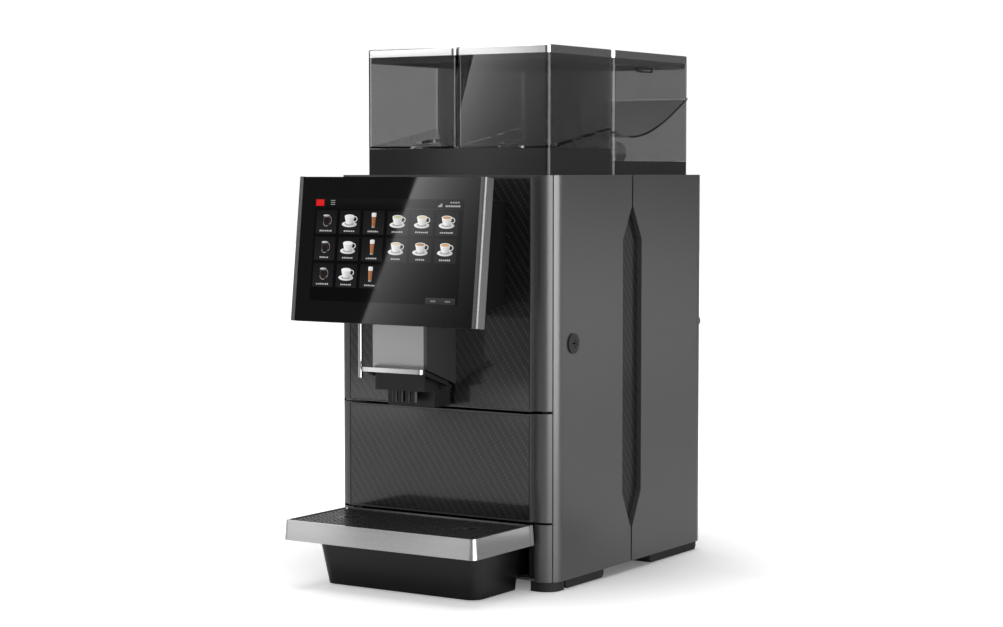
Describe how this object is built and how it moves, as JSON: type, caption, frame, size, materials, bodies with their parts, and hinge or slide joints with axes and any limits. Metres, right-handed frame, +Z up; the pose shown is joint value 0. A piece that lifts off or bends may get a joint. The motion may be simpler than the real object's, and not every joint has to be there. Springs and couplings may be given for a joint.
{
  "type": "hot coffee vending machine",
  "caption": "Bean-to-cup coffee machine with tilted touch display, sliding outlet, grounds drawer, drip tray and smoked hoppers.",
  "frame": {"origin": "on the counter, under the middle of the casing's footprint", "axes": "+Z up, +Y to the machine's back, +X to its right seen from the front"},
  "size_m": [0.3016, 0.5078, 0.614],
  "materials": {
    "satin_metal": "satin grey",
    "carbon_skin": "carbon-look weave under clear lacquer",
    "steel_sheet": "zinc grey",
    "black_plastic": "fine-textured black",
    "foot_rubber": "matt black",
    "chrome": "polished",
    "lock_metal": "dark satin",
    "rim_metal": "satin",
    "grid_black": "black coated",
    "screen_frame": "satin rails and a black back",
    "screen_glass": "polished black glass",
    "cover_metal": "dark satin",
    "smoked": "smoked clear plastic",
    "lid_metal": "satin",
    "works_plastic": "dark moulded",
    "works_metal": "machined",
    "circuit": "green board"
  },
  "bodies": {
    "chassis": {"base_plate": "steel_sheet", "foot_pads": "foot_rubber", "side_panel_right_front": "satin_metal", "side_panel_right_rear": "satin_metal", "side_panel_left_front": "satin_metal", "side_panel_left_rear": "satin_metal", "side_inlays": "carbon_skin", "back_cover": "satin_metal", "top_deck": "satin_metal", "base_corners": "satin_metal", "tray_bay": "black_plastic", "inner_frame": "steel_sheet", "hinge_arms": "steel_sheet", "lock_housing": "lock_metal", "hopper_seat": "black_plastic", "bean_hopper_right": "smoked", "bean_hopper_left": "smoked", "powder_canister_right": "smoked", "powder_canister_left": "smoked", "grinder_housings": "works_plastic", "grinder_motors": "works_metal", "gear_motors": "works_metal", "mixing_bowl": "works_plastic", "brew_frame": "works_plastic", "boiler": "works_metal", "pump": "works_metal", "control_board": "circuit", "power_inlet": "black_plastic", "water_fittings": "works_metal"},
    "door": {"door_frame": "satin_metal", "door_carbon_panel": "carbon_skin", "door_liner": "black_plastic", "screen_housing": "screen_frame", "screen_glass": "screen_glass", "screen_bracket": "black_plastic", "spout_cover": "cover_metal", "spout_face_plate": "rim_metal", "hot_water_tube": "chrome"},
    "outlet": {"nozzle_block": "black_plastic", "coffee_nozzles": "black_plastic", "spout_handle": "chrome"},
    "drawer": {"drawer_front": "satin_metal", "drawer_carbon_panel": "carbon_skin", "grounds_bin": "black_plastic"},
    "tray": {"drip_tray_rim": "rim_metal", "drip_tray_basin": "black_plastic"},
    "grid": {"drip_grid": "grid_black"},
    "lid_bean_right": {"bean_lid_right": "lid_metal"},
    "lid_bean_left": {"bean_lid_left": "lid_metal"},
    "lid_powder_right": {"powder_lid_right": "lid_metal"},
    "lid_powder_left": {"powder_lid_left": "lid_metal"},
    "burr_right": {"grinder_burr_right": "works_metal"},
    "burr_left": {"grinder_burr_left": "works_metal"},
    "auger_right": {"auger_right": "works_plastic"},
    "auger_left": {"auger_left": "works_plastic"},
    "whisk": {"whisk": "works_plastic"},
    "piston": {"brew_piston": "works_plastic"},
    "lock_plug": {"lock_barrel": "chrome"},
    "rocker": {"power_switch": "black_plastic"},
    "fan": {"fan_rotor": "black_plastic"}
  },
  "joints": [
    {"name": "door_hinge", "type": "hinge", "parent": "chassis", "child": "door", "pos_m": [-0.138, -0.174, 0.33], "axis": [0, 0, -1], "range_deg": [0, 90]},
    {"name": "outlet_slide", "type": "slide", "parent": "door", "child": "outlet", "axis": [0, 0, 1], "range_m": [-0.08, 0]},
    {"name": "drawer_slide", "type": "slide", "parent": "chassis", "child": "drawer", "axis": [0, -1, 0], "range_m": [0, 0.21]},
    {"name": "tray_slide", "type": "slide", "parent": "chassis", "child": "tray", "axis": [0, -1, 0], "range_m": [0, 0.19]},
    {"name": "grid_lift", "type": "slide", "parent": "tray", "child": "grid", "axis": [0, 0, -1], "range_m": [-0.03, 0]},
    {"name": "bean_lid_right_lift", "type": "slide", "parent": "chassis", "child": "lid_bean_right", "axis": [0, 0, 1], "range_m": [0, 0.03]},
    {"name": "bean_lid_left_lift", "type": "slide", "parent": "chassis", "child": "lid_bean_left", "axis": [0, 0, 1], "range_m": [0, 0.03]},
    {"name": "powder_lid_right_lift", "type": "slide", "parent": "chassis", "child": "lid_powder_right", "axis": [0, 0, 1], "range_m": [0, 0.03]},
    {"name": "powder_lid_left_lift", "type": "slide", "parent": "chassis", "child": "lid_powder_left", "axis": [0, 0, 1], "range_m": [0, 0.03]},
    {"name": "burr_right_spin", "type": "hinge", "parent": "chassis", "child": "burr_right", "pos_m": [0.06, -0.112, 0.42], "axis": [0, 0, 1], "continuous": true},
    {"name": "burr_left_spin", "type": "hinge", "parent": "chassis", "child": "burr_left", "pos_m": [-0.06, -0.112, 0.42], "axis": [0, 0, 1], "continuous": true},
    {"name": "auger_right_spin", "type": "hinge", "parent": "chassis", "child": "auger_right", "pos_m": [0.0633, 0.03, 0.494], "axis": [0, 1, 0], "continuous": true},
    {"name": "auger_left_spin", "type": "hinge", "parent": "chassis", "child": "auger_left", "pos_m": [-0.0633, 0.03, 0.494], "axis": [0, 1, 0], "continuous": true},
    {"name": "whisk_spin", "type": "hinge", "parent": "chassis", "child": "whisk", "pos_m": [0, 0, 0.395], "axis": [0, 1, 0], "continuous": true},
    {"name": "piston_slide", "type": "slide", "parent": "chassis", "child": "piston", "axis": [0, 0, -1], "range_m": [0, 0.055]},
    {"name": "lock_turn", "type": "hinge", "parent": "chassis", "child": "lock_plug", "pos_m": [0.13, -0.1397, 0.2785], "axis": [-1, 0, 0], "range_deg": [0, 90]},
    {"name": "rocker_tip", "type": "hinge", "parent": "chassis", "child": "rocker", "pos_m": [-0.088, 0.176, 0.084], "axis": [-1, 0, 0], "range_deg": [0, 12]},
    {"name": "fan_spin", "type": "hinge", "parent": "chassis", "child": "fan", "pos_m": [-0.06, 0.176, 0.38], "axis": [0, 1, 0], "continuous": true}
  ]
}
